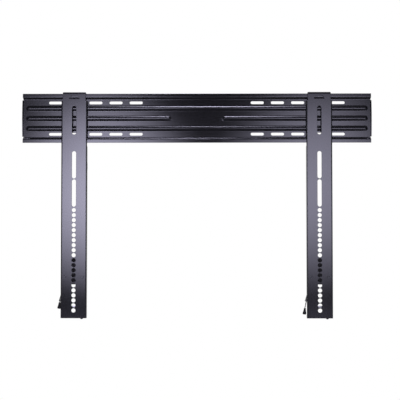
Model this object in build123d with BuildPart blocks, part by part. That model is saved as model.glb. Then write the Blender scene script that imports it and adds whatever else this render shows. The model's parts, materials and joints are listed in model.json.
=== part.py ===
from build123d import *
from math import atan2, cos, degrees, hypot, pi, radians, sin, sqrt, tan
import os

os.makedirs("parts", exist_ok=True)

# Sizes are in millimetres. X runs to the right, Z runs up and the wall is the plane Y = 0.
# "Out" is a distance from the wall towards the room, so out = 10 is Y = -10.
# Heights are measured from the middle of the wall plate.

# Wall plate
plate_width = 877.0
plate_sheet = 2.0
plate_bend = 1.0
joggle_foot_bend = 3.0
lip_height = 8.7
lip_out = 6.8
joggle_height = 2.1
end_flange_out = 9.0
end_flange_bow = 3.0
end_flange_corner = 2.0
end_flange_inset = 4.9
end_relief = 0.8
lip_end_inset = 1.5
rib_pitch = 25.4
rib_width = 12.6
rib_slope_width = 4.5
rib_rise = 3.0
rib_round = 5.0
rib_foot_round = 2.5
rib_end_margin = 9.5
middle_rib_gap = 128.0
slot_strip = 19.2
wall_slot_length = 33.0
wall_slot_width = 7.1
wall_slot_first = 152.4
wall_slot_pitch = 50.8
wall_slot_end_margin = 60.0
wall_slot_inset = 7.9

# Screen brackets, two alike
bracket_spread = 614.0
bracket_width = 65.0
bracket_sheet = 2.0
bracket_bend = 1.2
bracket_drop = 438.3
bracket_foot_corner = 6.0
face_gap = 0.8
flange_rear = 1.0
rail_gap = 0.7
lip_gap = 0.4
lip_notch_above = 2.5
lip_notch_below = 9.0
notch_corner = 2.0

# Hook at the top of each bracket
hook_side_step = 3.75
hook_bend = 3.4
hook_gap = 7.0
hook_seat = 0.6
hook_corner = 1.2
hook_neck = 18.0
tongue_drop = 6.5
window_width = 26.0
window_rise = 10.6
window_sill = 13.0

# Slots and holes for the screen's screws
screw_slot_width = 10.4
upper_slot_drop = 18.0
upper_slot_length = 72.0
lower_slot_drop = 21.4
lower_slot_length = 68.4
slot_web = 2.3
hole_diameter = 10.4
hole_pitch = 12.5
first_hole_drop = 8.5
hole_foot_margin = 17.0

# Latch that catches behind the bottom lip
latch_sheet = 1.5
latch_bend = 0.8
latch_side_gap = 2.5
latch_release_gap = 1.0
latch_face_gap = 0.4
latch_lip_gap = 0.6
latch_lip_clearance = 2.0
latch_joggle_height = 2.5
latch_shoulder = 1.0
latch_foot_margin = 4.3
latch_foot_gap = 1.2
latch_sight_margin = 2.5
latch_sight_height = 6.5
tooth_width = 20.0
tooth_reach = 6.0
tooth_ramp = 1.0
stud_spacing = 32.0
stud_diameter = 5.0
stud_head_diameter = 9.0
stud_head_height = 1.3
stud_clearance = 0.1
stud_head_gap = 0.4
stud_edge = 2.0

# Spring that holds the latch up
spring_side_gap = 9.5
spring_face_gap = 1.1
spring_diameter = 5.0
spring_wire = 0.8
spring_length = 25.0
spring_turns = 5
spring_peg_diameter = 3.0
spring_peg_length = 3.0
spring_end_gap = 0.1
tab_reach = 5.0
tab_width = 5.2
lance_length = 16.0

# Release cord and its pull
cord_diameter = 2.2
cord_sides = 8
cord_arc_share = 0.45
cord_out = 5.0
cord_hole_clearance = 0.3
knot_diameter = 4.6
knot_height = 4.0
knot_chamfer = 1.0
cord_notch_rise = 58.0
cord_notch_length = 50.0
cord_notch_out = 8.0
guide_length = 16.0
guide_reach = 4.6
toggle_length = 15.5
toggle_neck = 5.0
toggle_diameter = 9.4
toggle_lean = 5.0
toggle_seat = 0.4
toggle_round = 1.2
toggle_shoulder = 1.2
toggle_skirt = 0.8

# The cord's route down the left of the channel: (across from the bracket's middle, height)
cord_bow = [
    (-25.5, -84.2),
    (-25.5, -110.0),
    (-24.2, -156.0),
    (-23.2, -208.0),
    (-23.0, -260.0),
    (-23.7, -308.0),
    (-25.3, -352.0),
    (-26.2, -391.0),
    (-26.9, -417.0),
    (-27.2, -437.0),
]
cord_endings = {
    "left": [(-33.0, -456.5), (-35.3, -461.0)],
    "right": [(-33.0, -456.5), (-35.3, -465.5), (-37.0, -474.8)],
}

# Prop stand behind the foot of each bracket
hinge_sheet = 1.5
hinge_bend = 0.6
hinge_rise = 150.6
hinge_height = 66.6
hinge_wing_height = 32.0
hinge_wing_gap = 3.5
hinge_hub_width = 27.0
hinge_ear_height = 22.0
hinge_ear_gap = 0.4
hinge_ear_corner = 4.0
rivet_edge = 5.0
rivet_height = 18.0
rivet_diameter = 4.0
rivet_head_diameter = 6.6
rivet_head_depth = 1.2
rivet_tail_diameter = 5.6
rivet_tail_height = 1.0
pin_diameter = 3.0
pin_drop = 11.0
pin_head_diameter = 5.4
pin_head_height = 1.2
pin_clearance = 0.05
pin_end_gap = 0.3
arm_sheet = 1.5
arm_side_gap = 0.5
arm_front_gap = 0.3
arm_wall_gap = 0.2
arm_leg_width = 9.0
arm_web_drop = 10.0
arm_bar_rise = 26.1
arm_bar_height = 4.0
arm_tongue_width = 5.0
arm_tongue_length = 24.1
tip_width = 8.2
tip_length = 14.5
tip_wall = 1.2
tip_chamfer = 0.8

# A cutting tool runs this far past the sheet that it cuts
cut_past = 3.0

# Wall plate, worked out
rib_edge = rib_pitch + rib_width / 2
flat_top = rib_edge + slot_strip
lip_foot = flat_top + joggle_height
plate_top = lip_foot + lip_height
wall_slot_row = rib_edge + wall_slot_inset
lip_front = lip_out + plate_sheet
plate_end = plate_width / 2
lip_end = plate_end - lip_end_inset
end_bend_start = plate_end - plate_bend - plate_sheet
end_flange_half = flat_top - end_flange_inset
wall_slot_reach = plate_end - wall_slot_end_margin - wall_slot_length / 2
wall_slots_each_side = 1 + int((wall_slot_reach - wall_slot_first) / wall_slot_pitch)
rib_front = plate_sheet + rib_rise
rib_end = plate_end - rib_end_margin
rib_lean = rib_slope_width / rib_rise
rib_taper = degrees(atan2(rib_slope_width, rib_rise))
rib_hollow_width = rib_width - 2 * plate_sheet * (hypot(1, rib_lean) - rib_lean)

# Brackets, worked out
face_rear = lip_front + face_gap
face_front = face_rear + bracket_sheet
half_width = bracket_width / 2
inner_half_width = half_width - bracket_sheet
bracket_bottom = -plate_top - bracket_drop
hook_width = bracket_width - 2 * hook_side_step
flange_top = plate_top - hook_neck
hook_reach = hook_bend - face_gap
hook_clear = hook_bend - hook_seat
hook_inner = plate_top + hook_bend - sqrt(hook_clear**2 - hook_reach**2)
hook_top = hook_inner + bracket_sheet
tongue_front = face_rear - hook_gap
tongue_end = plate_top - tongue_drop
window_bottom = plate_top - window_sill
upper_slot_top = window_bottom - upper_slot_drop
lower_slot_top = -plate_top - lower_slot_drop
second_slot_top = lower_slot_top - lower_slot_length - slot_web
first_hole = second_slot_top - lower_slot_length - first_hole_drop
hole_count = 1 + int((first_hole - bracket_bottom - hole_foot_margin) / hole_pitch)

# Latch, worked out
latch_front = face_rear - latch_face_gap
latch_rear = latch_front - latch_sheet
tooth_front = lip_out - latch_lip_gap
joggle_top = -plate_top - latch_lip_clearance
joggle_bottom = joggle_top - latch_joggle_height
latch_top = joggle_bottom - latch_shoulder
latch_travel = tooth_reach + latch_release_gap
latch_width = 2 * (inner_half_width - latch_side_gap)
latch_foot_out = flange_rear + latch_foot_gap
stud_hole = stud_diameter + 2 * stud_clearance
latch_bottom = latch_top - stud_edge - latch_travel - stud_hole - latch_foot_margin
stud_across = stud_spacing / 2
stud_height = latch_top - stud_edge - latch_travel - stud_hole / 2
stud_shoulder = latch_rear - stud_head_gap
spring_across = inner_half_width - spring_side_gap
spring_out = face_rear - spring_face_gap - spring_diameter / 2
spring_seat = latch_bottom - spring_length
cord_hole = cord_diameter + 2 * cord_hole_clearance
cord_notch_top = bracket_bottom + cord_notch_rise

# Stand, worked out
hinge_rear = face_rear - hinge_sheet
hinge_ear_rear = flange_rear + hinge_ear_gap
hinge_top = bracket_bottom + hinge_rise
hinge_bottom = hinge_top - hinge_height
hinge_wing_width = 2 * (inner_half_width - hinge_wing_gap)
rivet_across = hinge_wing_width / 2 - rivet_edge
rivet_level = hinge_bottom + rivet_height
pin_level = hinge_top - pin_drop
hub_half = hinge_hub_width / 2
arm_inner = hub_half + arm_side_gap
arm_side = arm_inner + arm_sheet
arm_outer = arm_inner + arm_leg_width
arm_rear = flange_rear + arm_wall_gap
arm_flange = hinge_rear - arm_front_gap - arm_rear
pin_out = arm_rear + arm_flange / 2
arm_bar_bottom = bracket_bottom + arm_bar_rise
arm_web_top = pin_level - arm_web_drop
tongue_across = arm_outer - arm_leg_width / 2 + arm_sheet / 2
tongue_bottom = arm_bar_bottom - arm_tongue_length
tip_bottom = tongue_bottom - tip_wall - tip_width / 2
pin_half = arm_side + pin_end_gap


def front_view(across, out=0.0):
    """The view from the room: X, then height. It extrudes out into the room."""
    return Plane(origin=(across, -out, 0), x_dir=(1, 0, 0), z_dir=(0, -1, 0))


def side_view(across):
    """The view from the right-hand end: distance out, then height. It extrudes to the left."""
    return Plane(origin=(across, 0, 0), x_dir=(0, -1, 0), z_dir=(-1, 0, 0))


def plan_view(across, height):
    """The view from below: X, then distance out. It extrudes downwards."""
    return Plane(origin=(across, 0, height), x_dir=(1, 0, 0), z_dir=(0, 0, -1))


def route_radii(points):
    """The largest even arc for each corner of a cord's route."""
    corners = [Vector(*point) for point in points]
    radii = []
    for before, corner, after in zip(corners, corners[1:], corners[2:]):
        run_in = corner - before
        run_out = after - corner
        half_turn = radians(run_in.get_angle(run_out)) / 2
        radii.append(cord_arc_share * min(run_in.length, run_out.length) / tan(half_turn))
    return radii


# Wall plate: one sheet, folded into lips and end flanges, pressed into ribs and punched with slots
with BuildPart() as wall_plate:
    with BuildSketch(side_view(0)):
        with BuildLine():
            FilletPolyline(
                (lip_out, -plate_top),
                (lip_out, -lip_foot),
                (0, -flat_top),
                (0, flat_top),
                (lip_out, lip_foot),
                (lip_out, plate_top),
                radius=[
                    plate_bend,
                    joggle_foot_bend + plate_sheet,
                    joggle_foot_bend + plate_sheet,
                    plate_bend,
                ],
            )
            offset(amount=plate_sheet, side=Side.RIGHT)
        make_face()
    extrude(amount=lip_end, both=True)
    # The lips stop short of the end flanges, and a relief parts them at each corner.
    with BuildSketch(front_view(0)):
        for end in (-1, 1):
            with Locations((end * plate_end, 0)):
                Rectangle(2 * (plate_end - end_bend_start), 2 * (end_flange_half + end_relief))
    extrude(amount=lip_front, mode=Mode.SUBTRACT)
    flange_shoulder = end_flange_out - end_flange_bow
    with BuildSketch(plan_view(0, end_flange_half)):
        with BuildLine():
            FilletPolyline(
                (-plate_end, flange_shoulder),
                (-plate_end, 0),
                (plate_end, 0),
                (plate_end, flange_shoulder),
                radius=plate_bend + plate_sheet,
            )
            offset(amount=plate_sheet, side=Side.LEFT)
        make_face()
    extrude(amount=2 * end_flange_half)
    # Each flange's front edge is bowed, and its corners are rounded.
    for end in (-plate_end + plate_sheet, plate_end):
        with BuildSketch(side_view(end)):
            with BuildLine():
                Line((flange_shoulder, -end_flange_half), (flange_shoulder, end_flange_half))
                ThreePointArc(
                    (flange_shoulder, -end_flange_half),
                    (end_flange_out, 0),
                    (flange_shoulder, end_flange_half),
                )
            make_face()
        extrude(amount=plate_sheet)
    flange_corners = wall_plate.edges().filter_by(Axis.X).filter_by_position(
        Axis.Y, -flange_shoulder, -flange_shoulder
    )
    fillet(flange_corners, radius=end_flange_corner)
    rib_places = [(0, rib_pitch), (0, -rib_pitch)]
    half_rib_length = rib_end - middle_rib_gap / 2
    half_rib_middle = (rib_end + middle_rib_gap / 2) / 2
    half_rib_places = [(-half_rib_middle, 0), (half_rib_middle, 0)]
    with BuildSketch(front_view(0, plate_sheet)):
        with Locations(*rib_places):
            SlotOverall(2 * rib_end, rib_width)
        with Locations(*half_rib_places):
            SlotOverall(half_rib_length, rib_width)
    extrude(amount=rib_rise, taper=rib_taper)
    crests = wall_plate.faces().filter_by(Axis.Y).filter_by_position(
        Axis.Y, -rib_front, -rib_front
    )
    fillet(crests.edges(), radius=rib_round)
    flat_faces = wall_plate.faces().filter_by(Axis.Y).sort_by(SortBy.AREA)[-2:]
    rib_feet = flat_faces.sort_by(Axis.Y)[0].inner_wires()
    fillet(rib_feet.edges(), radius=rib_foot_round)
    rib_shrink = rib_width - rib_hollow_width
    with BuildSketch(front_view(0)):
        with Locations(*rib_places):
            SlotOverall(2 * rib_end - rib_shrink, rib_hollow_width)
        with Locations(*half_rib_places):
            SlotOverall(half_rib_length - rib_shrink, rib_hollow_width)
    extrude(amount=rib_rise, taper=rib_taper, mode=Mode.SUBTRACT)
    wall_slot_places = [
        (side * (wall_slot_first + wall_slot_pitch * number), row * wall_slot_row)
        for side in (-1, 1)
        for number in range(wall_slots_each_side)
        for row in (-1, 1)
    ]
    with BuildSketch(front_view(0)):
        with Locations(*wall_slot_places):
            SlotOverall(wall_slot_length, wall_slot_width)
    extrude(amount=plate_sheet, mode=Mode.SUBTRACT)

wall_plate.part.label = "wall_plate"
export_step(wall_plate.part, "parts/wall_plate.step")

for side, middle in (("left", -bracket_spread / 2), ("right", bracket_spread / 2)):

    # Screen bracket: a channel folded from one sheet, with a hook at its top
    with BuildPart() as tv_bracket:
        with BuildSketch(plan_view(middle, flange_top)):
            with BuildLine():
                FilletPolyline(
                    (-half_width, flange_rear),
                    (-half_width, face_front),
                    (half_width, face_front),
                    (half_width, flange_rear),
                    radius=bracket_bend + bracket_sheet,
                )
                offset(amount=bracket_sheet, side=Side.RIGHT)
            make_face()
        extrude(amount=flange_top - bracket_bottom)
        foot_edges = tv_bracket.edges().filter_by(Axis.X).group_by(Axis.Z)[0]
        fillet(foot_edges.group_by(Axis.Y)[-1], radius=bracket_foot_corner)
        with BuildSketch(side_view(middle)):
            with BuildLine():
                FilletPolyline(
                    (tongue_front, tongue_end),
                    (tongue_front, hook_inner),
                    (face_rear, hook_inner),
                    (face_rear, flange_top),
                    radius=hook_bend,
                )
                offset(amount=bracket_sheet, side=Side.LEFT)
            make_face()
        extrude(amount=hook_width / 2, both=True)
        with BuildSketch(front_view(middle)):
            for turn in (-1, 1):
                with BuildLine():
                    Polyline(
                        (turn * (hook_width / 2 - hook_corner), hook_top),
                        (turn * hook_width / 2, hook_top),
                        (turn * hook_width / 2, hook_top - hook_corner),
                        close=True,
                    )
                make_face()
        extrude(amount=face_front, mode=Mode.SUBTRACT)
        # The flanges are cut back to clear the ribs, and further to clear the bottom lip.
        with BuildSketch(side_view(middle)):
            with BuildLine():
                FilletPolyline(
                    (-cut_past, flange_top + cut_past),
                    (rib_front + rail_gap, flange_top + cut_past),
                    (rib_front + rail_gap, lip_notch_above - flat_top),
                    (lip_front + lip_gap, lip_notch_above - flat_top),
                    (lip_front + lip_gap, -plate_top - lip_notch_below),
                    (-cut_past, -plate_top - lip_notch_below),
                    radius=notch_corner,
                    close=True,
                )
            make_face()
            with Locations((0, tongue_end)):
                Rectangle(
                    2 * face_rear,
                    2 * (tongue_end - flange_top - cut_past),
                    mode=Mode.SUBTRACT,
                )
        extrude(amount=half_width, both=True, mode=Mode.SUBTRACT)
        # The arched window in the hook, the three slots and the column of holes.
        with BuildSketch(front_view(middle, face_rear)):
            with BuildLine():
                Line((-window_width / 2, window_bottom), (window_width / 2, window_bottom))
                ThreePointArc(
                    (-window_width / 2, window_bottom),
                    (0, window_bottom + window_rise),
                    (window_width / 2, window_bottom),
                )
            make_face()
            with Locations((0, upper_slot_top - upper_slot_length / 2)):
                SlotOverall(upper_slot_length, screw_slot_width, rotation=90)
            with Locations(
                (0, lower_slot_top - lower_slot_length / 2),
                (0, second_slot_top - lower_slot_length / 2),
            ):
                SlotOverall(lower_slot_length, screw_slot_width, rotation=90)
            with Locations(*[(0, first_hole - hole_pitch * n) for n in range(hole_count)]):
                Circle(hole_diameter / 2)
        extrude(amount=bracket_sheet, mode=Mode.SUBTRACT)
        # The spring's tab is lanced out of the right flange, which leaves a window below it.
        with BuildSketch(plan_view(middle, spring_seat)):
            tab_end = spring_across - tab_reach
            with Locations(((tab_end + half_width - bracket_sheet / 2) / 2, spring_out)):
                Rectangle(half_width - bracket_sheet / 2 - tab_end, tab_width)
        extrude(amount=bracket_sheet)
        with BuildSketch(side_view(middle + half_width)):
            with Locations((spring_out, spring_seat - bracket_sheet - lance_length / 2)):
                Rectangle(tab_width, lance_length)
        extrude(amount=bracket_sheet, mode=Mode.SUBTRACT)
        with BuildSketch(plan_view(middle, spring_seat)):
            with Locations((spring_across, spring_out)):
                Circle(spring_peg_diameter / 2)
        extrude(amount=-spring_peg_length)
        # The notch that lets the cord out of the left flange.
        with BuildSketch(side_view(middle - inner_half_width)):
            with BuildLine():
                FilletPolyline(
                    (-cut_past, cord_notch_top),
                    (cord_notch_out, cord_notch_top),
                    (cord_notch_out, cord_notch_top - cord_notch_length),
                    (-cut_past, cord_notch_top - cord_notch_length),
                    radius=notch_corner,
                    close=True,
                )
            make_face()
        extrude(amount=bracket_sheet, mode=Mode.SUBTRACT)
        # The flap at the notch's top is bent outwards, to guide the cord.
        with BuildSketch(front_view(middle, flange_rear)):
            with BuildLine():
                Polyline(
                    (-half_width, cord_notch_top),
                    (-inner_half_width, cord_notch_top),
                    (-inner_half_width - guide_reach, cord_notch_top - guide_length),
                    (-half_width - guide_reach, cord_notch_top - guide_length),
                    close=True,
                )
            make_face()
        extrude(amount=cord_notch_out - flange_rear)
        # Countersunk holes for the stand's flush rivets.
        with Locations(
            *[
                front_view(middle + turn * rivet_across, face_front)
                * Location((0, rivet_level, 0))
                for turn in (-1, 1)
            ]
        ):
            CounterSinkHole(
                radius=rivet_diameter / 2,
                counter_sink_radius=rivet_head_diameter / 2,
                depth=bracket_sheet,
                counter_sink_angle=2
                * degrees(
                    atan2((rivet_head_diameter - rivet_diameter) / 2, rivet_head_depth)
                ),
            )

    tv_bracket.part.label = f"tv_bracket_{side}"
    export_step(tv_bracket.part, f"parts/tv_bracket_{side}.step")

    # Latch: a folded plate with a tooth behind the bottom lip and a foot for the cord and the spring
    with BuildPart() as latch_plate:
        with BuildSketch(side_view(middle)):
            with BuildLine():
                FilletPolyline(
                    (latch_foot_out, latch_bottom),
                    (latch_front, latch_bottom),
                    (latch_front, latch_top),
                    radius=latch_bend + latch_sheet,
                )
                offset(amount=latch_sheet, side=Side.LEFT)
            make_face()
        extrude(amount=latch_width / 2, both=True)
        with BuildSketch(side_view(middle)):
            with BuildLine():
                FilletPolyline(
                    (latch_front, latch_top),
                    (latch_front, joggle_bottom),
                    (tooth_front, joggle_top),
                    (tooth_front, -plate_top + tooth_reach),
                    radius=latch_bend,
                )
                offset(amount=latch_sheet, side=Side.LEFT)
            make_face()
        extrude(amount=tooth_width / 2, both=True)
        # The tooth's rear edge is ramped, so that the latch clicks over the lip.
        tooth_edges = latch_plate.edges().filter_by(Axis.X).group_by(Axis.Z)[-1]
        chamfer(tooth_edges.sort_by(Axis.Y)[-1], length=tooth_ramp)
        # The slots that ride on the studs, and the gap that keeps the screw slot clear.
        with BuildSketch(front_view(middle)):
            with Locations(
                (-stud_across, stud_height + latch_travel / 2),
                (stud_across, stud_height + latch_travel / 2),
            ):
                SlotCenterToCenter(latch_travel, stud_hole, rotation=90)
            with Locations((0, latch_bottom)):
                Rectangle(screw_slot_width + 2 * latch_sight_margin, 2 * latch_sight_height)
        extrude(amount=face_rear, mode=Mode.SUBTRACT)
        with BuildSketch(plan_view(middle, latch_bottom)):
            with Locations((cord_bow[0][0], cord_out)):
                Circle(cord_hole / 2)
        extrude(amount=-latch_sheet, mode=Mode.SUBTRACT)
        with BuildSketch(plan_view(middle, latch_bottom)):
            with Locations((spring_across, spring_out)):
                Circle(spring_peg_diameter / 2)
        extrude(amount=spring_peg_length)

    latch_plate.part.label = f"latch_plate_{side}"
    export_step(latch_plate.part, f"parts/latch_plate_{side}.step")

    # Headed studs on the back of the bracket, which guide the latch
    with BuildPart() as latch_studs:
        stud_places = [(-stud_across, stud_height), (stud_across, stud_height)]
        with BuildSketch(front_view(middle, stud_shoulder)):
            with Locations(*stud_places):
                Circle(stud_diameter / 2)
        extrude(amount=face_rear - stud_shoulder)
        with BuildSketch(front_view(middle, stud_shoulder)):
            with Locations(*stud_places):
                Circle(stud_head_diameter / 2)
        extrude(amount=-stud_head_height)

    latch_studs.part.label = f"latch_studs_{side}"
    export_step(latch_studs.part, f"parts/latch_studs_{side}.step")

    # Compression spring of square wire, between the tab and the latch's foot
    with BuildPart() as latch_spring:
        coil_height = spring_length - spring_wire - 2 * spring_end_gap
        coil_start = spring_seat + spring_wire / 2 + spring_end_gap
        with BuildLine(Plane(origin=(middle + spring_across, -spring_out, coil_start))) as coil:
            Helix(
                pitch=coil_height / spring_turns,
                height=coil_height,
                radius=(spring_diameter - spring_wire) / 2,
            )
        with BuildSketch(Plane(origin=coil.line @ 0, z_dir=coil.line % 0)):
            Rectangle(spring_wire, spring_wire)
        sweep(path=coil.line, is_frenet=True)

    latch_spring.part.label = f"latch_spring_{side}"
    export_step(latch_spring.part, f"parts/latch_spring_{side}.step")

    # Release cord, from its knot on the latch's foot to the pull outside the flange
    route = cord_bow + cord_endings[side]
    radii = route_radii(route)
    print("release cord", side, "radii", [round(radius) for radius in radii])
    with BuildPart() as release_cord:
        with BuildLine(front_view(middle, cord_out)) as cord_line:
            FilletPolyline(*route, radius=radii)
        with BuildSketch(Plane(origin=cord_line.line @ 0, z_dir=cord_line.line % 0)):
            RegularPolygon(cord_diameter / 2, cord_sides)
        sweep(path=cord_line.line)
    cord_section = cord_sides / 2 * sin(2 * pi / cord_sides) * (cord_diameter / 2) ** 2
    print("length", cord_line.wire().length, "from volume", release_cord.part.volume / cord_section)

    release_cord.part.label = f"release_cord_{side}"
    export_step(release_cord.part, f"parts/release_cord_{side}.step")

    # Knot that keeps the cord from pulling through the latch's foot
    with BuildPart() as cord_knot:
        with BuildSketch(plan_view(middle, latch_bottom + latch_sheet)):
            with Locations((cord_bow[0][0], cord_out)):
                Circle(knot_diameter / 2)
        extrude(amount=-knot_height)
        chamfer(cord_knot.edges().filter_by(GeomType.CIRCLE), length=knot_chamfer)

    cord_knot.part.label = f"cord_knot_{side}"
    export_step(cord_knot.part, f"parts/cord_knot_{side}.step")

    # Moulded bell-shaped pull on the cord's end, which hangs nearly upright
    pull_up = Vector(sin(radians(toggle_lean)), 0, cos(radians(toggle_lean)))
    pull_top = cord_line.line @ 1 - pull_up * toggle_seat
    pull_plane = Plane(origin=pull_top, x_dir=pull_up.cross(Vector(0, -1, 0)), z_dir=(0, -1, 0))
    with BuildPart() as pull_toggle:
        with BuildSketch(pull_plane):
            with BuildLine():
                Polyline((0, -toggle_length), (0, 0), (toggle_neck / 2, 0))
                Spline(
                    (toggle_neck / 2, 0),
                    (toggle_diameter / 2, toggle_round - toggle_length),
                    tangents=[(0, -1), (0, -1)],
                    tangent_scalars=[toggle_shoulder, toggle_skirt],
                )
                Polyline(
                    (toggle_diameter / 2, toggle_round - toggle_length),
                    (toggle_diameter / 2 - toggle_round, -toggle_length),
                    (0, -toggle_length),
                )
            make_face()
        revolve(axis=Axis(pull_top, pull_up))

    pull_toggle.part.label = f"pull_toggle_{side}"
    export_step(pull_toggle.part, f"parts/pull_toggle_{side}.step")

    # Stand hinge: a plate riveted behind the face, with two ears for the pin
    with BuildPart() as stand_hinge:
        with BuildSketch(plan_view(middle, hinge_top)):
            with BuildLine():
                FilletPolyline(
                    (-hub_half, hinge_ear_rear),
                    (-hub_half, face_rear),
                    (hub_half, face_rear),
                    (hub_half, hinge_ear_rear),
                    radius=hinge_bend + hinge_sheet,
                )
                offset(amount=hinge_sheet, side=Side.RIGHT)
            make_face()
        extrude(amount=hinge_ear_height)
        ear_edges = stand_hinge.edges().filter_by(Axis.X).group_by(Axis.Y)[-1]
        fillet(ear_edges, radius=hinge_ear_corner)
        with BuildSketch(front_view(middle, hinge_rear)):
            with Locations((0, hinge_bottom + hinge_wing_height / 2)):
                Rectangle(hinge_wing_width, hinge_wing_height)
            with Locations((0, (hinge_top - hinge_bend - hinge_sheet + hinge_bottom) / 2)):
                hub_flat = hinge_hub_width - 2 * (hinge_bend + hinge_sheet)
                Rectangle(hub_flat, hinge_height - hinge_bend - hinge_sheet)
        extrude(amount=hinge_sheet)
        with BuildSketch(front_view(middle, hinge_rear)):
            with Locations((-rivet_across, rivet_level), (rivet_across, rivet_level)):
                Circle(rivet_diameter / 2)
        extrude(amount=hinge_sheet, mode=Mode.SUBTRACT)
        with BuildSketch(side_view(middle)):
            with Locations((pin_out, pin_level)):
                Circle(pin_diameter / 2)
        extrude(amount=hub_half, both=True, mode=Mode.SUBTRACT)

    stand_hinge.part.label = f"stand_hinge_{side}"
    export_step(stand_hinge.part, f"parts/stand_hinge_{side}.step")

    # Two rivets, flush with the face and upset behind the hinge plate
    with BuildPart() as stand_rivets:
        for turn in (-1, 1):
            rivet_middle = middle + turn * rivet_across
            with BuildSketch(side_view(rivet_middle)):
                with BuildLine():
                    Polyline(
                        (face_front, rivet_level),
                        (face_front, rivet_level + rivet_head_diameter / 2),
                        (face_front - rivet_head_depth, rivet_level + rivet_diameter / 2),
                        (hinge_rear, rivet_level + rivet_diameter / 2),
                        (hinge_rear, rivet_level + rivet_tail_diameter / 2),
                        (hinge_rear - rivet_tail_height, rivet_level + rivet_tail_diameter / 2),
                        (hinge_rear - rivet_tail_height, rivet_level),
                        close=True,
                    )
                make_face()
            revolve(axis=Axis((rivet_middle, 0, rivet_level), (0, -1, 0)))

    stand_rivets.part.label = f"stand_rivets_{side}"
    export_step(stand_rivets.part, f"parts/stand_rivets_{side}.step")

    # Hinge pin, fixed in the ears and headed outside the stand's sides
    with BuildPart() as stand_pin:
        with BuildSketch(side_view(middle)):
            with Locations((pin_out, pin_level)):
                Circle(pin_diameter / 2)
        extrude(amount=pin_half, both=True)
        for turn in (-1, 1):
            with BuildSketch(side_view(middle + turn * pin_half)):
                with Locations((pin_out, pin_level)):
                    Circle(pin_head_diameter / 2)
            extrude(amount=-turn * pin_head_height)

    stand_pin.part.label = f"stand_pin_{side}"
    export_step(stand_pin.part, f"parts/stand_pin_{side}.step")

    # Stand arm: two angle legs joined by a bar, with a tongue for the rubber tip on the right leg
    with BuildPart() as stand_arm:
        for turn in (-1, 1):
            with BuildSketch(side_view(middle + turn * (arm_inner + arm_sheet / 2))):
                with BuildLine():
                    Line((arm_rear, pin_level), (arm_rear, arm_bar_bottom))
                    Line((arm_rear, arm_bar_bottom), (arm_rear + arm_sheet, arm_bar_bottom))
                    Line(
                        (arm_rear + arm_sheet, arm_bar_bottom),
                        (arm_rear + arm_flange, arm_bar_bottom + arm_flange),
                    )
                    Line(
                        (arm_rear + arm_flange, arm_bar_bottom + arm_flange),
                        (arm_rear + arm_flange, pin_level),
                    )
                    ThreePointArc(
                        (arm_rear + arm_flange, pin_level),
                        (pin_out, pin_level + arm_flange / 2),
                        (arm_rear, pin_level),
                    )
                make_face()
                with Locations((pin_out, pin_level)):
                    Circle(pin_diameter / 2 + pin_clearance, mode=Mode.SUBTRACT)
            extrude(amount=arm_sheet / 2, both=True)
        with BuildSketch(front_view(middle, arm_rear)):
            leg_height = arm_web_top - arm_bar_bottom
            leg_across = (arm_inner + arm_outer) / 2
            with Locations(
                (-leg_across, arm_bar_bottom + leg_height / 2),
                (leg_across, arm_bar_bottom + leg_height / 2),
            ):
                Rectangle(arm_leg_width, leg_height)
            with Locations((0, arm_bar_bottom + arm_bar_height / 2)):
                Rectangle(2 * arm_outer, arm_bar_height)
            with Locations((tongue_across, arm_bar_bottom - arm_tongue_length / 2)):
                Rectangle(arm_tongue_width, arm_tongue_length)
        extrude(amount=arm_sheet)

    stand_arm.part.label = f"stand_arm_{side}"
    export_step(stand_arm.part, f"parts/stand_arm_{side}.step")

    # Rubber tip pushed on the tongue, so that the stand doesn't mark the wall
    with BuildPart() as stand_tip:
        with BuildSketch(front_view(middle, arm_rear + arm_sheet / 2)):
            with BuildLine():
                Line(
                    (tongue_across - tip_width / 2, tip_bottom + tip_width / 2),
                    (tongue_across - tip_width / 2, tip_bottom + tip_length),
                )
                Line(
                    (tongue_across - tip_width / 2, tip_bottom + tip_length),
                    (tongue_across + tip_width / 2, tip_bottom + tip_length),
                )
                Line(
                    (tongue_across + tip_width / 2, tip_bottom + tip_length),
                    (tongue_across + tip_width / 2, tip_bottom + tip_width / 2),
                )
                ThreePointArc(
                    (tongue_across + tip_width / 2, tip_bottom + tip_width / 2),
                    (tongue_across, tip_bottom),
                    (tongue_across - tip_width / 2, tip_bottom + tip_width / 2),
                )
            make_face()
        extrude(amount=arm_sheet / 2 + tip_wall, both=True)
        chamfer(stand_tip.edges().filter_by(Axis.Y, reverse=True), length=tip_chamfer)
        with BuildSketch(front_view(middle, arm_rear)):
            with Locations((tongue_across, arm_bar_bottom - arm_tongue_length / 2)):
                Rectangle(arm_tongue_width, arm_tongue_length)
        extrude(amount=arm_sheet, mode=Mode.SUBTRACT)

    stand_tip.part.label = f"stand_tip_{side}"
    export_step(stand_tip.part, f"parts/stand_tip_{side}.step")
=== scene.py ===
# %% [markdown]
# # A slim wall bracket for a screen
# The real object is a long folded wall plate with two tall channels hooked over its top edge.
# Each channel hides a spring latch, which a cord pulls down, and a small stand that props the screen off
# the wall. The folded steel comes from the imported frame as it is. This lesson gives it its black powder
# coat, and models the pieces that a solid can't show well: the cords, their knots and the coil springs.

import json
import math

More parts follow.
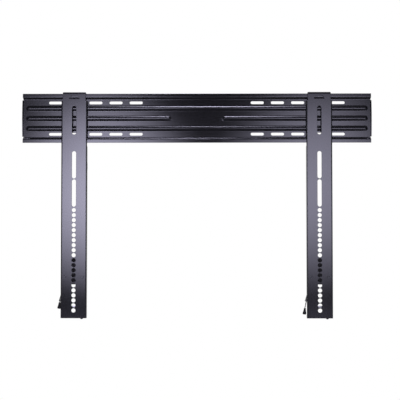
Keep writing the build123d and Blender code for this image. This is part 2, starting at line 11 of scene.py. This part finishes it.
import bmesh
import bpy
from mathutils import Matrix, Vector


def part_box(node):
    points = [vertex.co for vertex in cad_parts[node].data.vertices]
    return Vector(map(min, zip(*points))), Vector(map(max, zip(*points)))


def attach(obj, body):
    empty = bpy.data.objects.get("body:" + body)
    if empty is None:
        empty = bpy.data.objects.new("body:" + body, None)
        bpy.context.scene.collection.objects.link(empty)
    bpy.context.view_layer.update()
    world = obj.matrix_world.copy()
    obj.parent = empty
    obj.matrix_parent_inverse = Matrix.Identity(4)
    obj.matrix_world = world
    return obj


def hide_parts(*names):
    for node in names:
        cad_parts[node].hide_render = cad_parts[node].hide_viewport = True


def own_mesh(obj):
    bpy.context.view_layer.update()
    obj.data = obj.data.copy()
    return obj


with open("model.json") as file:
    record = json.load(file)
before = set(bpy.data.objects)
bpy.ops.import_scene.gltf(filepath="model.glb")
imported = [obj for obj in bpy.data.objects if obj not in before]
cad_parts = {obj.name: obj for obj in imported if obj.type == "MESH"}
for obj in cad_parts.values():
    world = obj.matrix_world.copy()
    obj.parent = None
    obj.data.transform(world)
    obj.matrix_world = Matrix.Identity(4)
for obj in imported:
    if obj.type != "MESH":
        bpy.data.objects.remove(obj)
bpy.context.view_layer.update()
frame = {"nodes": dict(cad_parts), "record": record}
scene = bpy.context.scene
scene.view_settings.view_transform = "Standard"
mm = 0.001

# %% [markdown]
# ## Camera
# The picture is taken from about two metres in front, with the lens turned up a little: the feet of the
# channels look a trace larger than their heads. The camera is also a little to the right of the middle, so
# the left channel looks a trace smaller than the right one. A target point on the wall gives the tilt, and
# the lens gives the width of the view.

# %% Place the camera
camera_distance = 2.1
camera_at = Vector((0.0263, -camera_distance, -0.2677))
look_at = Vector((0.0084, 0.0, -0.2052))
view_width = 1.0045

camera_data = bpy.data.cameras.new("camera")
camera_data.sensor_width = 36.0
camera_data.lens = camera_data.sensor_width * (look_at - camera_at).length / view_width
camera_data.dof.use_dof = False
camera = bpy.data.objects.new("camera", camera_data)
camera.location = camera_at
camera.rotation_mode = "QUATERNION"
camera.rotation_quaternion = (look_at - camera_at).to_track_quat("-Z", "Y")
scene.collection.objects.link(camera)
scene.camera = camera
print("lens", round(camera_data.lens, 1), "mm")

# %% [markdown]
# ## Release cords
# A thin braided cord runs down inside each channel from the latch, comes out through a notch near the foot
# and ends in a moulded pull. A cord's line is one smooth NURBS curve through the same few points that the
# CAD tube follows, and it goes on a little way into the pull, which is moulded over its end. The curve's own
# bevel gives it its round section. The bevel is left at one and each point's radius sets the thickness,
# because Blender counts a point's radius in the curve's bounding box.

# %% Lay the cords
cord_diameter = 2.2 * mm
cord_out = 5.0 * mm
bracket_middle = {"left": -307.0 * mm, "right": 307.0 * mm}
cord_bow = [
    (-25.5, -84.2),
    (-25.5, -110.0),
    (-24.2, -156.0),
    (-23.2, -208.0),
    (-23.0, -260.0),
    (-23.7, -308.0),
    (-25.3, -352.0),
    (-26.2, -391.0),
    (-26.9, -417.0),
    (-27.2, -437.0),
]
cord_endings = {
    "left": [(-33.0, -456.5), (-36.0, -462.4)],
    "right": [(-33.0, -456.5), (-35.3, -465.5), (-37.3, -476.3)],
}


def cord_points(side):
    """The cord's route in the row frame, in metres."""
    route = cord_bow + cord_endings[side]
    middle = bracket_middle[side]
    return [Vector((middle + across * mm, -cord_out, height * mm)) for across, height in route]


def nurbs_line(name, points, radius):
    """A round NURBS cord through control points."""
    curve = bpy.data.curves.new(name, "CURVE")
    curve.dimensions = "3D"
    curve.bevel_depth = 1.0
    curve.bevel_resolution = 5
    curve.resolution_u = 12
    curve.use_fill_caps = True
    spline = curve.splines.new("NURBS")
    spline.points.add(len(points) - 1)
    for point, place in zip(spline.points, points):
        point.co = (*place, 1.0)
        point.radius = radius
    spline.order_u = 3
    spline.use_endpoint_u = True
    piece = bpy.data.objects.new(name, curve)
    scene.collection.objects.link(piece)
    return piece


cords = {}
for side in bracket_middle:
    cords[side] = nurbs_line(f"cord_{side}", cord_points(side), cord_diameter / 2)
    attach(cords[side], f"{side}_latch")
    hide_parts(f"release_cord_{side}")
print("cords", [piece.name for piece in cords.values()])

# %% [markdown]
# ## Knots
# The cord is knotted above the latch's foot, so that a pull draws the latch down. An overhand knot is a
# trefoil: the cord's line winds three times round a small ring. A closed curve with a bevel draws it.

# %% Tie the knots
knot_radius = 1.45 * mm
knot_half_height = 1.15 * mm
knot_cord = 0.8 * mm
knot_steps = 24
knots = {}
for side in bracket_middle:
    low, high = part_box(f"cord_knot_{side}")
    centre = (low + high) / 2
    points = []
    for step in range(knot_steps):
        turn = math.tau * step / knot_steps
        across = (math.sin(turn) + 2 * math.sin(2 * turn)) / 3
        out = (math.cos(turn) - 2 * math.cos(2 * turn)) / 3
        drop = math.sin(3 * turn)
        points.append(centre + Vector((knot_radius * across, knot_radius * out, -knot_half_height * drop)))
    knot = nurbs_line(f"knot_{side}", points, knot_cord)
    knot.data.splines[0].use_endpoint_u = False
    knot.data.splines[0].use_cyclic_u = True
    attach(knot, f"{side}_latch")
    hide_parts(f"cord_knot_{side}")
    knots[side] = knot
print("knots", [piece.name for piece in knots.values()])

# %% [markdown]

# %% [markdown]
# ## Springs
# A small coil spring holds each latch up behind the bottom lip. Spinning a ring of wire while it climbs
# draws a coil in one operation. The first and last turns climb slowly, as the closed ends of a real
# compression spring do. The real coil is squashed as the latch comes down; the drawn one keeps one length.

# %% Wind a coil
wire_radius = 0.4 * mm
wire_sides = 8
steps_per_turn = 20
closed_turns = 1
active_turns = 6
merge_distance = wire_radius / 20


def wound_coil(name, low, high):
    """A compression spring that fills the box between two corners, as a mesh."""
    centre = (low + high) / 2
    coil_radius = (high.x - low.x) / 2 - wire_radius
    end_rise = 2 * wire_radius
    active_rise = high.z - low.z - 2 * end_rise - 2 * wire_radius
    upright = Vector((0, 0, 1)).rotation_difference((0, 1, 0)).to_matrix()
    wound = bmesh.new()
    ring = bmesh.ops.create_circle(wound, cap_ends=True, segments=wire_sides, radius=wire_radius)["verts"]
    bmesh.ops.rotate(wound, verts=ring, cent=(0, 0, 0), matrix=upright)
    bmesh.ops.translate(wound, verts=ring, vec=(centre.x + coil_radius, centre.y, low.z + wire_radius))
    moving = list(wound.faces) + list(wound.edges) + list(wound.verts)
    for turns, rise in ((closed_turns, end_rise), (active_turns, active_rise), (closed_turns, end_rise)):
        steps = turns * steps_per_turn
        moving = bmesh.ops.spin(
            wound,
            geom=moving,
            cent=centre,
            axis=(0, 0, 1),
            dvec=(0, 0, rise / steps),
            angle=math.tau * turns,
            steps=steps,
            use_merge=False,
        )["geom_last"]
    bmesh.ops.remove_doubles(wound, verts=wound.verts, dist=merge_distance)
    bmesh.ops.recalc_face_normals(wound, faces=wound.faces)
    for face in wound.faces:
        face.smooth = True
    mesh = bpy.data.meshes.new(name)
    wound.to_mesh(mesh)
    wound.free()
    return mesh


# %% Seat the springs
springs = {}
for side in bracket_middle:
    low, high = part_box(f"latch_spring_{side}")
    name = f"spring_{side}"
    spring = bpy.data.objects.new(name, wound_coil(name, low, high))
    scene.collection.objects.link(spring)
    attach(spring, f"{side}_bracket")
    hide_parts(f"latch_spring_{side}")
    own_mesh(spring)
    springs[side] = spring
print("springs", {piece.name: len(piece.data.polygons) for piece in springs.values()})

# %% [markdown]
# ## Shared effects
# Paint, plating and mouldings all have a grain too fine to model, and all of them thin out or shine where a
# sheet edge turns. Two small node groups make these effects once, and each finish places them with its own
# values. The first is a grain: a fine noise for the surface and a slow one that makes the gloss uneven.

# %% Group: fine grain


def shader_group(name, inputs, outputs):
    """An empty shader group with named sockets, and its two ends."""
    group = bpy.data.node_groups.new(name, "ShaderNodeTree")
    for socket, default in inputs:
        made = group.interface.new_socket(socket, in_out="INPUT", socket_type="NodeSocketFloat")
        made.default_value = default
    for socket, kind in outputs:
        group.interface.new_socket(socket, in_out="OUTPUT", socket_type=kind)
    return group, group.nodes.new("NodeGroupInput"), group.nodes.new("NodeGroupOutput")


value, vector = "NodeSocketFloat", "NodeSocketVector"
fine_grain, grain_in, grain_out = shader_group(
    "fine_grain",
    [("Grain Scale", 1400.0), ("Mottle Scale", 22.0)],
    [("Height", value), ("Mottle", value)],
)
grain_place = fine_grain.nodes.new("ShaderNodeTexCoord")
for size, result, detail in (("Grain Scale", "Height", 2.0), ("Mottle Scale", "Mottle", 4.0)):
    noise = fine_grain.nodes.new("ShaderNodeTexNoise")
    noise.inputs["Detail"].default_value = detail
    fine_grain.links.new(grain_place.outputs["Object"], noise.inputs["Vector"])
    fine_grain.links.new(grain_in.outputs[size], noise.inputs["Scale"])
    fine_grain.links.new(noise.outputs["Fac"], grain_out.inputs[result])
print("group", fine_grain.name, [node.name for node in fine_grain.nodes])

# %% [markdown]
# The second group rounds the edges. A punched or folded edge is never quite sharp, so it catches a thin
# line of light. The Bevel node looks around each point and bends the normal near an edge. How far it bends
# also makes a mask, for a finish that wears thin there.

# %% Group: soft edge
edge_samples = 4
soft_edge, edge_in, edge_out = shader_group(
    "soft_edge", [("Radius", 0.4 * mm)], [("Normal", vector), ("Edge", value)]
)
round_edge = soft_edge.nodes.new("ShaderNodeBevel")
round_edge.samples = edge_samples
flat_side = soft_edge.nodes.new("ShaderNodeNewGeometry")
agree = soft_edge.nodes.new("ShaderNodeVectorMath")
agree.operation = "DOT_PRODUCT"
worn = soft_edge.nodes.new("ShaderNodeMapRange")
worn.inputs["From Min"].default_value = 1.0
worn.inputs["From Max"].default_value = 0.75
soft_edge.links.new(edge_in.outputs["Radius"], round_edge.inputs["Radius"])
soft_edge.links.new(round_edge.outputs["Normal"], edge_out.inputs["Normal"])
soft_edge.links.new(round_edge.outputs["Normal"], agree.inputs[0])
soft_edge.links.new(flat_side.outputs["True Normal"], agree.inputs[1])
soft_edge.links.new(agree.outputs["Value"], worn.inputs["Value"])
soft_edge.links.new(worn.outputs["Result"], edge_out.inputs["Edge"])
print("group", soft_edge.name)

# %% [markdown]
# Every finish has the same parts: a colour that drifts a little over the surface, a lighter edge, a gloss
# that is not quite even, and a grain. One function joins them to a Principled shader, so that a finish is
# a short list of its own values.

# %% A finish from the shared effects


def grained_finish(
    name, colour, drift_colour, edge_colour, edge_radius, roughness, grain_scale, grain_depth, mottle_scale
):
    """A material whose colour, gloss and surface vary. Roughness is its lowest and highest."""
    material = bpy.data.materials.new(name)
    material.use_nodes = True
    nodes, links = material.node_tree.nodes, material.node_tree.links
    shader = nodes["Principled BSDF"]
    grain = nodes.new("ShaderNodeGroup")
    grain.node_tree = fine_grain
    grain.inputs["Grain Scale"].default_value = grain_scale
    grain.inputs["Mottle Scale"].default_value = mottle_scale
    edge = nodes.new("ShaderNodeGroup")
    edge.node_tree = soft_edge
    edge.inputs["Radius"].default_value = edge_radius
    drift = nodes.new("ShaderNodeMix")
    drift.data_type = "RGBA"
    drift.inputs["A"].default_value = (*colour, 1.0)
    drift.inputs["B"].default_value = (*drift_colour, 1.0)
    trim = nodes.new("ShaderNodeMix")
    trim.data_type = "RGBA"
    trim.inputs["B"].default_value = (*edge_colour, 1.0)
    gloss = nodes.new("ShaderNodeMapRange")
    gloss.inputs["To Min"].default_value = roughness[0]
    gloss.inputs["To Max"].default_value = roughness[1]
    bump = nodes.new("ShaderNodeBump")
    bump.inputs["Strength"].default_value = 1.0
    bump.inputs["Distance"].default_value = grain_depth
    links.new(grain.outputs["Mottle"], drift.inputs["Factor"])
    links.new(drift.outputs["Result"], trim.inputs["A"])
    links.new(edge.outputs["Edge"], trim.inputs["Factor"])
    links.new(trim.outputs["Result"], shader.inputs["Base Color"])
    links.new(grain.outputs["Mottle"], gloss.inputs["Value"])
    links.new(gloss.outputs["Result"], shader.inputs["Roughness"])
    links.new(grain.outputs["Height"], bump.inputs["Height"])
    links.new(edge.outputs["Normal"], bump.inputs["Normal"])
    links.new(bump.outputs["Normal"], shader.inputs["Normal"])
    return material


# %% [markdown]
# ## Powder coat
# The plate and the channels wear one black powder coat, baked on over bent and punched sheet. It is smooth
# enough to mirror the soft boxes as long pale bands, with a faint orange peel in it, and it is thin on the
# edges. A painted steel is not a metal to the shader: its gloss is the clear reflection of the paint, so
# Metallic stays at nought. The flush rivet heads were struck after the coat and touched up, so they are
# duller.

# %% Coat the steel
coat_black = (0.0085, 0.0083, 0.0098)
coat_drift = (0.0105, 0.0103, 0.0118)
coat_edge = (0.02, 0.02, 0.023)
coat_radius = 1.2 * mm
small_radius = 0.4 * mm
powder_coat = grained_finish(
    "powder_coat",
    colour=coat_black,
    drift_colour=coat_drift,
    edge_colour=coat_edge,
    edge_radius=coat_radius,
    roughness=(0.1, 0.12),
    grain_scale=1400.0,
    grain_depth=0.002 * mm,
    mottle_scale=22.0,
)
rivet_coat = grained_finish(
    "rivet_coat",
    colour=coat_black,
    drift_colour=coat_drift,
    edge_colour=coat_edge,
    edge_radius=small_radius,
    roughness=(0.25, 0.32),
    grain_scale=1800.0,
    grain_depth=0.004 * mm,
    mottle_scale=300.0,
)
print("coats", powder_coat.name, rivet_coat.name)

# %% [markdown]
# ## Zinc and black oxide
# The latches, studs, pins, springs and prop arms are zinc plated: a pale metal whose crystals make it
# cloudy, yellower in places. The hinge plate of each stand is blackened steel, almost without gloss, which
# is why it looks like a shadow behind the holes. Both are the same recipe with other values, and zinc is a
# true metal.

# %% Plate and blacken the small steel
zinc_steel = grained_finish(
    "zinc_steel",
    colour=(0.5, 0.51, 0.54),
    drift_colour=(0.62, 0.61, 0.57),
    edge_colour=(0.7, 0.7, 0.7),
    edge_radius=small_radius,
    roughness=(0.26, 0.44),
    grain_scale=2600.0,
    grain_depth=0.008 * mm,
    mottle_scale=420.0,
)
zinc_steel.node_tree.nodes["Principled BSDF"].inputs["Metallic"].default_value = 1.0
black_oxide = grained_finish(
    "black_oxide",
    colour=(0.008, 0.008, 0.0085),
    drift_colour=(0.014, 0.013, 0.012),
    edge_colour=(0.03, 0.029, 0.028),
    edge_radius=small_radius,
    roughness=(0.62, 0.78),
    grain_scale=1600.0,
    grain_depth=0.02 * mm,
    mottle_scale=90.0,
)
print("small steel", zinc_steel.name, black_oxide.name)

# %% [markdown]
# ## Plastic and rubber
# The pulls are moulded in a black plastic with a spark-eroded mould's fine texture. The stand's tips are
# soft rubber, duller still, greyed by handling on their corners.

# %% Mould the pulls and tips
moulded_plastic = grained_finish(
    "moulded_plastic",
    colour=(0.008, 0.008, 0.0088),
    drift_colour=(0.012, 0.012, 0.0128),
    edge_colour=(0.02, 0.02, 0.0215),
    edge_radius=small_radius,
    roughness=(0.42, 0.55),
    grain_scale=2200.0,
    grain_depth=0.02 * mm,
    mottle_scale=160.0,
)
rubber = grained_finish(
    "rubber",
    colour=(0.02, 0.02, 0.02),
    drift_colour=(0.03, 0.03, 0.029),
    edge_colour=(0.05, 0.049, 0.047),
    edge_radius=small_radius,
    roughness=(0.68, 0.85),
    grain_scale=1500.0,
    grain_depth=0.03 * mm,
    mottle_scale=240.0,
)
matt_gloss = 0.18
for moulding in (moulded_plastic, rubber, black_oxide):
    moulding.node_tree.nodes["Principled BSDF"].inputs["Specular IOR Level"].default_value = matt_gloss
print("mouldings", moulded_plastic.name, rubber.name)

# %% [markdown]
# ## Braid
# The cord is braided from strands that wind both ways round it, so its skin is a lattice of small diamonds.
# Noise can't follow a cord, but the curve's own UV map can: one direction runs along the cord and the other
# runs round it. Two waves that lean opposite ways across that map cross in diamonds. The product of the
# waves is the height of the strands, and the hollows between them are painted darker, as painted shade.

# %% Group: braid


def wave(group, name, along, around, sign):
    """A wave that leans one way round the cord."""
    lean = group.nodes.new("ShaderNodeMath")
    lean.operation = sign
    sine = group.nodes.new("ShaderNodeMath")
    sine.operation = "SINE"
    sine.name = name
    group.links.new(along, lean.inputs[0])
    group.links.new(around, lean.inputs[1])
    group.links.new(lean.outputs["Value"], sine.inputs[0])
    return sine.outputs["Value"]


braid, braid_in, braid_out = shader_group(
    "braid", [("Picks", 300.0), ("Strands", 4.0)], [("Height", value)]
)
braid_map = braid.nodes.new("ShaderNodeUVMap")
parts = braid.nodes.new("ShaderNodeSeparateXYZ")
braid.links.new(braid_map.outputs["UV"], parts.inputs["Vector"])
turned = {}
for axis, count in (("X", "Picks"), ("Y", "Strands")):
    repeat = braid.nodes.new("ShaderNodeMath")
    repeat.operation = "MULTIPLY"
    turn = braid.nodes.new("ShaderNodeMath")
    turn.operation = "MULTIPLY"
    turn.inputs[1].default_value = math.pi
    braid.links.new(parts.outputs[axis], repeat.inputs[0])
    braid.links.new(braid_in.outputs[count], repeat.inputs[1])
    braid.links.new(repeat.outputs["Value"], turn.inputs[0])
    turned[axis] = turn.outputs["Value"]
lattice = braid.nodes.new("ShaderNodeMath")
lattice.operation = "MULTIPLY"
crown = braid.nodes.new("ShaderNodeMath")
crown.operation = "ABSOLUTE"
braid.links.new(wave(braid, "left lay", turned["X"], turned["Y"], "ADD"), lattice.inputs[0])
braid.links.new(wave(braid, "right lay", turned["X"], turned["Y"], "SUBTRACT"), lattice.inputs[1])
braid.links.new(lattice.outputs["Value"], crown.inputs[0])
braid.links.new(crown.outputs["Value"], braid_out.inputs["Height"])
print("group", braid.name, len(braid.nodes), "nodes")

# %% Braid the cords and knots
strand_depth = 0.25 * mm
cord_picks = 300.0
knot_picks = 24.0
# The hollows' colour is painted shade: the gaps between the strands are darkened in the colour itself.
hollow_painted_shade = (0.018, 0.018, 0.019, 1.0)
strand_grey = (0.1, 0.1, 0.105, 1.0)


def braided(name, picks):
    """A braid with a number of crossings along its cord."""
    material = bpy.data.materials.new(name)
    material.use_nodes = True
    nodes, links = material.node_tree.nodes, material.node_tree.links
    shader = nodes["Principled BSDF"]
    shader.inputs["Roughness"].default_value = 0.75
    shader.inputs["Sheen Weight"].default_value = 0.25
    lay = nodes.new("ShaderNodeGroup")
    lay.node_tree = braid
    lay.inputs["Picks"].default_value = picks
    shade = nodes.new("ShaderNodeMix")
    shade.data_type = "RGBA"
    shade.inputs["A"].default_value = hollow_painted_shade
    shade.inputs["B"].default_value = strand_grey
    bump = nodes.new("ShaderNodeBump")
    bump.inputs["Distance"].default_value = strand_depth
    # The strand height also mixes the colour, so the hollows carry painted shade.
    links.new(lay.outputs["Height"], shade.inputs["Factor"])
    links.new(shade.outputs["Result"], shader.inputs["Base Color"])
    links.new(lay.outputs["Height"], bump.inputs["Height"])
    links.new(bump.outputs["Normal"], shader.inputs["Normal"])
    return material


cord_braid = braided("cord_braid", cord_picks)
knot_braid = braided("knot_braid", knot_picks)
print("braids", cord_braid.name, knot_braid.name)

# %% [markdown]
# ## Dress the pieces
# The record says which finish each CAD node has, so most pieces are dressed in one loop. Rivets, cords and
# knots follow it with a variant of their own.

# %% Put the finishes on
finishes = {
    "powder_coat": powder_coat,
    "zinc_steel": zinc_steel,
    "black_oxide": black_oxide,
    "cord_braid": cord_braid,
    "moulded_plastic": moulded_plastic,
    "rubber": rubber,
}


def dress(piece, material):
    """Puts one material on a piece."""
    piece.data.materials.clear()
    piece.data.materials.append(material)


slot_of_node = {part["node"]: part["material_slot"] for part in frame["record"]["subparts"]}
for name, node in frame["nodes"].items():
    dress(node, finishes[slot_of_node[name]])
for side in bracket_middle:
    dress(frame["nodes"][f"stand_rivets_{side}"], rivet_coat)
    dress(cords[side], cord_braid)
    dress(knots[side], knot_braid)
    dress(springs[side], zinc_steel)
print("dressed", len(slot_of_node), "nodes")

# %% [markdown]
# ## Surround and floor
# The picture has a white background, but black paint shows what stands around it, and the room on the
# camera's side was dim. So the world is white to the camera, white behind the object to a reflection, and
# dim elsewhere. The floor is a disc of pale paper, well below the object, white to the camera and to
# reflections. A share of it takes the light and the shadow as paper does. It is set back, so that the
# undersides of the ribs mirror the dim room in front of it and stay dark.

# %% White surround
room_grey = (0.075, 0.074, 0.08, 1.0)
world = bpy.data.worlds.new("surround")
scene.world = world
world.use_nodes = True
nodes, links = world.node_tree.nodes, world.node_tree.links
path = nodes.new("ShaderNodeLightPath")
heading = nodes.new("ShaderNodeTexCoord")
parts = nodes.new("ShaderNodeSeparateXYZ")
behind = nodes.new("ShaderNodeMath")
behind.operation = "GREATER_THAN"
behind.inputs[1].default_value = 0.0
mirrored = nodes.new("ShaderNodeMath")
mirrored.operation = "MULTIPLY"
seen = nodes.new("ShaderNodeMath")
seen.operation = "MAXIMUM"
shade = nodes.new("ShaderNodeMix")
shade.data_type = "RGBA"
shade.inputs["A"].default_value = room_grey
shade.inputs["B"].default_value = (1.0, 1.0, 1.0, 1.0)
links.new(heading.outputs["Generated"], parts.inputs["Vector"])
links.new(parts.outputs["Y"], behind.inputs[0])
links.new(behind.outputs["Value"], mirrored.inputs[0])
links.new(path.outputs["Is Glossy Ray"], mirrored.inputs[1])
links.new(path.outputs["Is Camera Ray"], seen.inputs[0])
links.new(mirrored.outputs["Value"], seen.inputs[1])
links.new(seen.outputs["Value"], shade.inputs["Factor"])
links.new(shade.outputs["Result"], nodes["Background"].inputs["Color"])
print("surround", world.name)

# %% Paper floor
floor_height = -1.2
floor_back = 0.8
floor_radius = 1.2
floor_sides = 64
disc = bmesh.new()
bmesh.ops.create_circle(disc, cap_ends=True, segments=floor_sides, radius=floor_radius)
bmesh.ops.translate(disc, verts=disc.verts, vec=(0, floor_back, floor_height))
floor_mesh = bpy.data.meshes.new("floor")
disc.to_mesh(floor_mesh)
disc.free()
floor = bpy.data.objects.new("floor", floor_mesh)
scene.collection.objects.link(floor)
print("floor", 2 * floor_radius, "m across at", floor_height)

# %% Floor finish
paper_grey = (0.8, 0.8, 0.8, 1.0)
white_share = 0.93
paper = bpy.data.materials.new("floor_paper")
paper.use_nodes = True
nodes, links = paper.node_tree.nodes, paper.node_tree.links
matt = nodes["Principled BSDF"]
matt.inputs["Base Color"].default_value = paper_grey
matt.inputs["Roughness"].default_value = 0.9
white = nodes.new("ShaderNodeEmission")
path = nodes.new("ShaderNodeLightPath")
seen = nodes.new("ShaderNodeMath")
seen.operation = "MAXIMUM"
share = nodes.new("ShaderNodeMath")
share.operation = "MULTIPLY"
share.inputs[1].default_value = white_share
mixed = nodes.new("ShaderNodeMixShader")
links.new(path.outputs["Is Camera Ray"], seen.inputs[0])
links.new(path.outputs["Is Glossy Ray"], seen.inputs[1])
links.new(seen.outputs["Value"], share.inputs[0])
links.new(share.outputs["Value"], mixed.inputs["Fac"])
links.new(matt.outputs["BSDF"], mixed.inputs[1])
links.new(white.outputs["Emission"], mixed.inputs[2])
links.new(mixed.outputs["Shader"], nodes["Material Output"].inputs["Surface"])
dress(floor, paper)
print("floor finish", paper.name)

# %% [markdown]
# ## Soft boxes
# Nearly all the shape in a black object comes from what it mirrors. A large soft box stands on each side of
# the camera, the left one stronger, with a weak fill above it and a small one below for the channel's foot.
# Their round fall-off is the gradient down the channels. Two strips hang overhead: a narrow one that the
# ribs' upper slopes mirror as a bright line, and a wider one for the lips' feet. Two low boards at the sides
# show the coat's shape from elsewhere. A lamp has no such fall-off, so each box is a clear sheet that glows,
# with a curve from its middle to its rim. Light adds up through clear sheets, so they may overlap.

# %% A glow that fades
cool_light = (0.95, 0.92, 1.2, 1.0)


def glow_finish(name, strength, fade_power, fade_axes):
    """A clear material that glows most at its middle and fades to nothing along the axes given."""
    glow = bpy.data.materials.new(name)
    glow.use_nodes = True
    nodes, links = glow.node_tree.nodes, glow.node_tree.links
    nodes.remove(nodes["Principled BSDF"])
    emission = nodes.new("ShaderNodeEmission")
    emission.inputs["Color"].default_value = cool_light
    where = nodes.new("ShaderNodeTexCoord")
    axes = nodes.new("ShaderNodeVectorMath")
    axes.operation = "MULTIPLY"
    axes.inputs[1].default_value = fade_axes
    square = nodes.new("ShaderNodeVectorMath")
    square.operation = "DOT_PRODUCT"
    fall = nodes.new("ShaderNodeMath")
    fall.operation = "SUBTRACT"
    fall.use_clamp = True
    fall.inputs[0].default_value = 1.0
    curve = nodes.new("ShaderNodeMath")
    curve.operation = "POWER"
    curve.inputs[1].default_value = fade_power
    level = nodes.new("ShaderNodeMath")
    level.operation = "MULTIPLY"
    level.inputs[1].default_value = strength
    clear = nodes.new("ShaderNodeBsdfTransparent")
    both = nodes.new("ShaderNodeAddShader")
    links.new(where.outputs["Object"], axes.inputs[0])
    links.new(axes.outputs["Vector"], square.inputs[0])
    links.new(axes.outputs["Vector"], square.inputs[1])
    links.new(square.outputs["Value"], fall.inputs[1])
    links.new(fall.outputs["Value"], curve.inputs[0])
    links.new(curve.outputs["Value"], level.inputs[0])
    links.new(level.outputs["Value"], emission.inputs["Strength"])
    links.new(emission.outputs["Emission"], both.inputs[0])
    links.new(clear.outputs["BSDF"], both.inputs[1])
    links.new(both.outputs["Shader"], nodes["Material Output"].inputs["Surface"])
    return glow


# %% A sheet that glows


def soft_box(name, place, aim, reach, strength, fade_power, fade_axes):
    """A glowing sheet that faces a point. Reach is half its width and half its height."""
    sheet = bmesh.new()
    bmesh.ops.create_grid(sheet, x_segments=1, y_segments=1, size=1.0)
    mesh = bpy.data.meshes.new(name)
    sheet.to_mesh(mesh)
    sheet.free()
    panel = bpy.data.objects.new(name, mesh)
    panel.location = place
    panel.scale = (*reach, 1.0)
    panel.rotation_mode = "QUATERNION"
    panel.rotation_quaternion = (Vector(aim) - Vector(place)).to_track_quat("Z", "Y")
    panel.visible_camera = False
    scene.collection.objects.link(panel)
    dress(panel, glow_finish(name, strength, fade_power, fade_axes))


# %% Stand the boxes round the camera
round_fade = (1.0, 1.0, 0.0)
round_power = 1.5
# Each box has its place, its reach and its strength.
front_boxes = {
    "left_box": ((-0.51, -2.15, -0.11), 0.55, 10.2),
    "left_fill": ((-0.6, -2.2, 0.38), 0.42, 1.4),
    "right_box": ((0.55, -2.15, -0.1), 0.55, 5.6),
    "right_fill": ((0.63, -2.2, 0.34), 0.38, 1.1),
    "left_foot": ((-0.65, -2.2, -0.87), 0.22, 0.8),
    "right_foot": ((0.59, -2.2, -0.77), 0.16, 0.8),
}
for name, (place, reach, strength) in front_boxes.items():
    straight_ahead = (place[0], 0.0, place[2])
    soft_box(name, place, straight_ahead, (reach, reach), strength, round_power, round_fade)
print("boxes", list(front_boxes))

# %% Hang the strips
strip_fade = (1.0, 0.0, 0.0)
# Each strip has its place, its reach, its strength and the power of its fade.
overhead = {
    "rib_strip": ((0.03, -0.415, 1.7), (0.9, 0.045), 24.0, 6.0),
    "lip_strip": ((-0.17, -0.03, 1.7), (0.58, 0.3), 26.0, 4.0),
}
for name, (place, reach, strength, power) in overhead.items():
    straight_down = (place[0], place[1], 0.0)
    soft_box(name, place, straight_down, reach, strength, power, strip_fade)
print("strips", list(overhead))

# %% Lean the boards at the sides
boards = {"left_board": (-1.15, -1.55, -1.0), "right_board": (1.15, -1.55, -1.0)}
board_reach = (0.85, 0.45)
board_aim = (0.0, 0.0, -0.3)
board_strength = 2.8
for name, place in boards.items():
    soft_box(name, place, board_aim, board_reach, board_strength, round_power, round_fade)
print("boards", list(boards))
